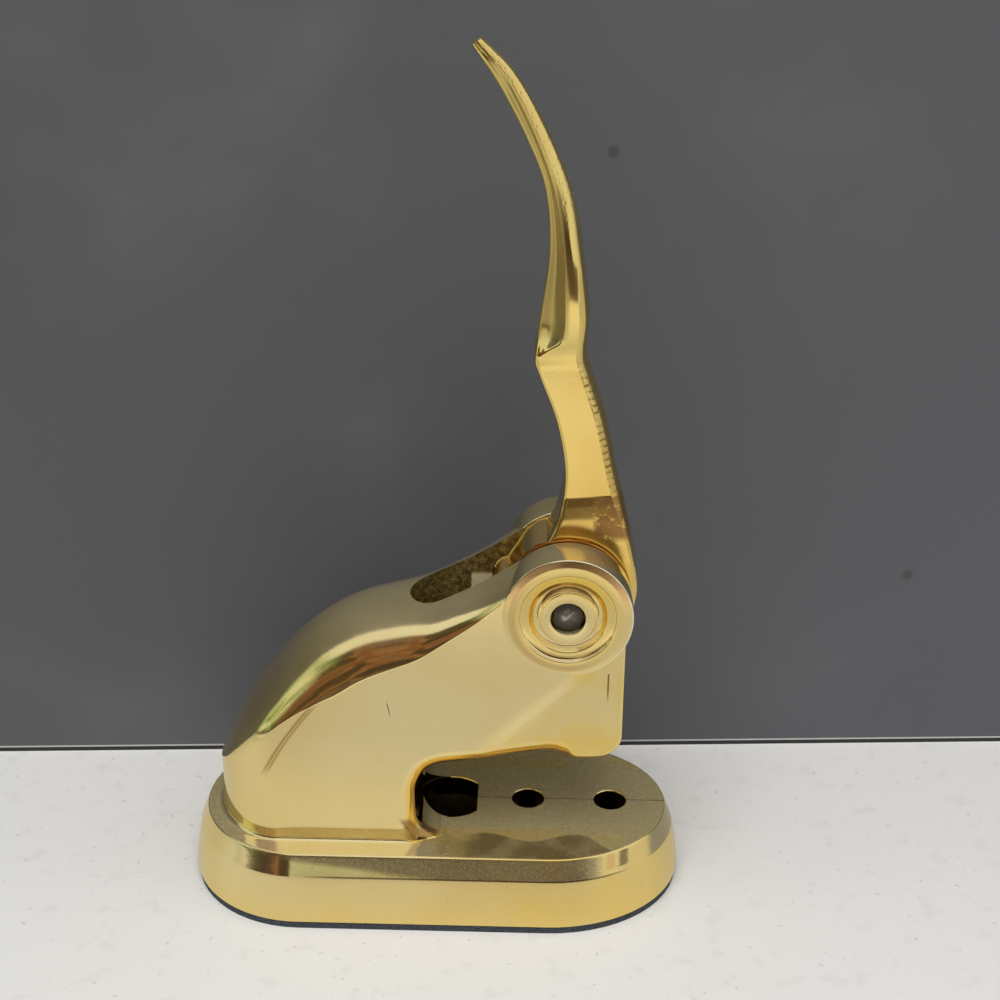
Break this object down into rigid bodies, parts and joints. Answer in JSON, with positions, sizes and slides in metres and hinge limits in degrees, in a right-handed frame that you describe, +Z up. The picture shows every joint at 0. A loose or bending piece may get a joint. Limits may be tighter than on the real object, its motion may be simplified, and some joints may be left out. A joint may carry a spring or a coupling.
{
  "type": "seal embosser",
  "caption": "Desk seal embosser: gold cast frame with a forked head, a curved lever with a cam on its hub, and a sprung ram over a base with two die screw holes.",
  "frame": {"origin": "middle of the pad's underside, on the surface the press stands on", "axes": "+Z up; +X to the front, where the throat opens; the lever swings back towards -X"},
  "size_m": [0.143, 0.0676, 0.2403],
  "materials": {
    "gold_casting": "polished gold plate",
    "gold_turned": "polished",
    "dark_steel": "blackened",
    "bright_steel": "ground",
    "bronze": "turned",
    "felt": "felt"
  },
  "bodies": {
    "press_frame": {"frame": "gold_casting", "base_pad": "felt", "bottom_plate": "dark_steel", "plate_screws": "dark_steel", "near_bush": "gold_turned", "far_bush": "gold_turned", "near_washer": "bronze", "far_washer": "bronze", "ram_sleeve": "bronze", "spring_washer": "bright_steel", "ram_spring": "bright_steel", "guide_screw": "dark_steel", "guide_lock_screw": "dark_steel"},
    "lever_arm": {"lever": "gold_casting", "pivot_pin": "dark_steel", "hub_set_screw": "dark_steel"},
    "ram_slide": {"ram": "bright_steel", "ram_collar": "bright_steel", "collar_clip": "dark_steel", "ram_button": "dark_steel", "die_set_screw": "dark_steel"}
  },
  "joints": [
    {"name": "lever_swing", "type": "hinge", "parent": "press_frame", "child": "lever_arm", "pos_m": [0.0368, 0, 0.094], "axis": [0, -1, 0], "range_deg": [0, 72], "stiffness_Nm_per_rad": 0.25, "springref_deg": -28.65},
    {"name": "ram_press", "type": "slide", "parent": "press_frame", "child": "ram_slide", "axis": [0, 0, -1], "range_m": [0, 0.00505], "deforming": ["ram_spring"]}
  ],
  "couplings": [
    {"joint": "ram_press", "follows": "lever_swing", "m_per_rad": 0.004}
  ]
}
